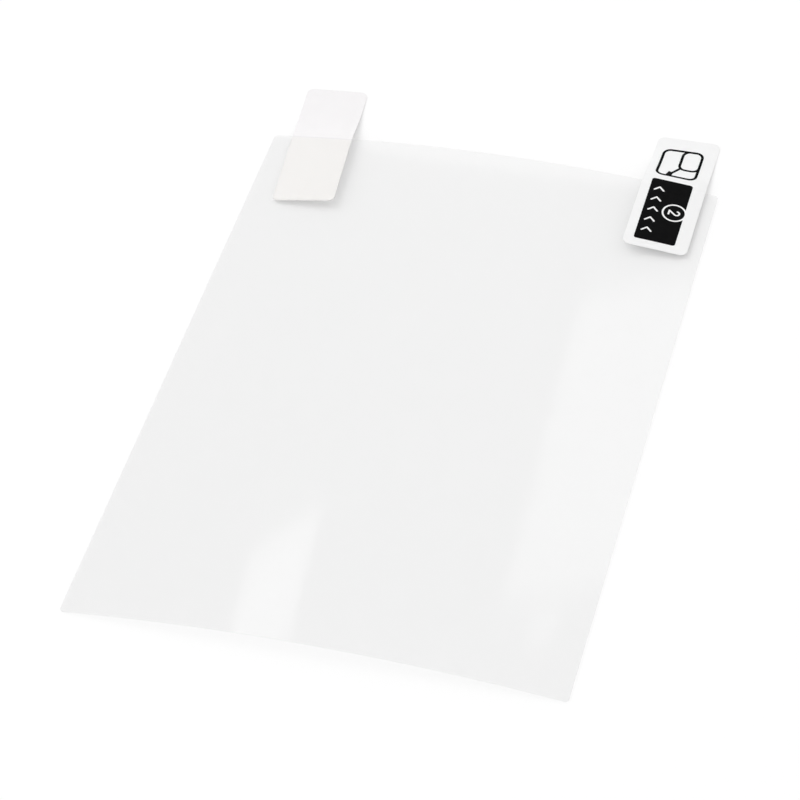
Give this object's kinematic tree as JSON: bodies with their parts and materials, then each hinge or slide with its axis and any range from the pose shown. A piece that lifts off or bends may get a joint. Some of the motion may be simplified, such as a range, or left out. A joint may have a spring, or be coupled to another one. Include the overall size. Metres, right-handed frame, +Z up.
{
  "type": "screen protector film",
  "caption": "Clear protective film for a radio display between two clear liners, arched as it comes out of its sleeve, with a white pull tab on each liner at one short side.",
  "frame": {"origin": "on the surface that the sheet lies on, at the middle of the part's box, pull tabs included", "axes": "+X across the sheet, towards the front tab's side; +Y along the sheet, towards the pull tabs; +Z up, out of the front face"},
  "size_m": [0.071, 0.113, 0.0027],
  "materials": {
    "clear_film": "clear, glossy hard-coated film",
    "liner_film": "clear thin liner film with a satin gloss",
    "back_label": "blank reverse of a white label, matt",
    "front_label": "coated white label face, satin",
    "black_ink": "black printing ink, satin"
  },
  "bodies": {
    "root": {"back_liner": "liner_film", "protector_film": "clear_film", "front_liner": "liner_film", "back_tab": "back_label", "front_tab": "front_label", "tab_print_field": "black_ink", "tab_print_pictogram": "black_ink"}
  },
  "joints": []
}
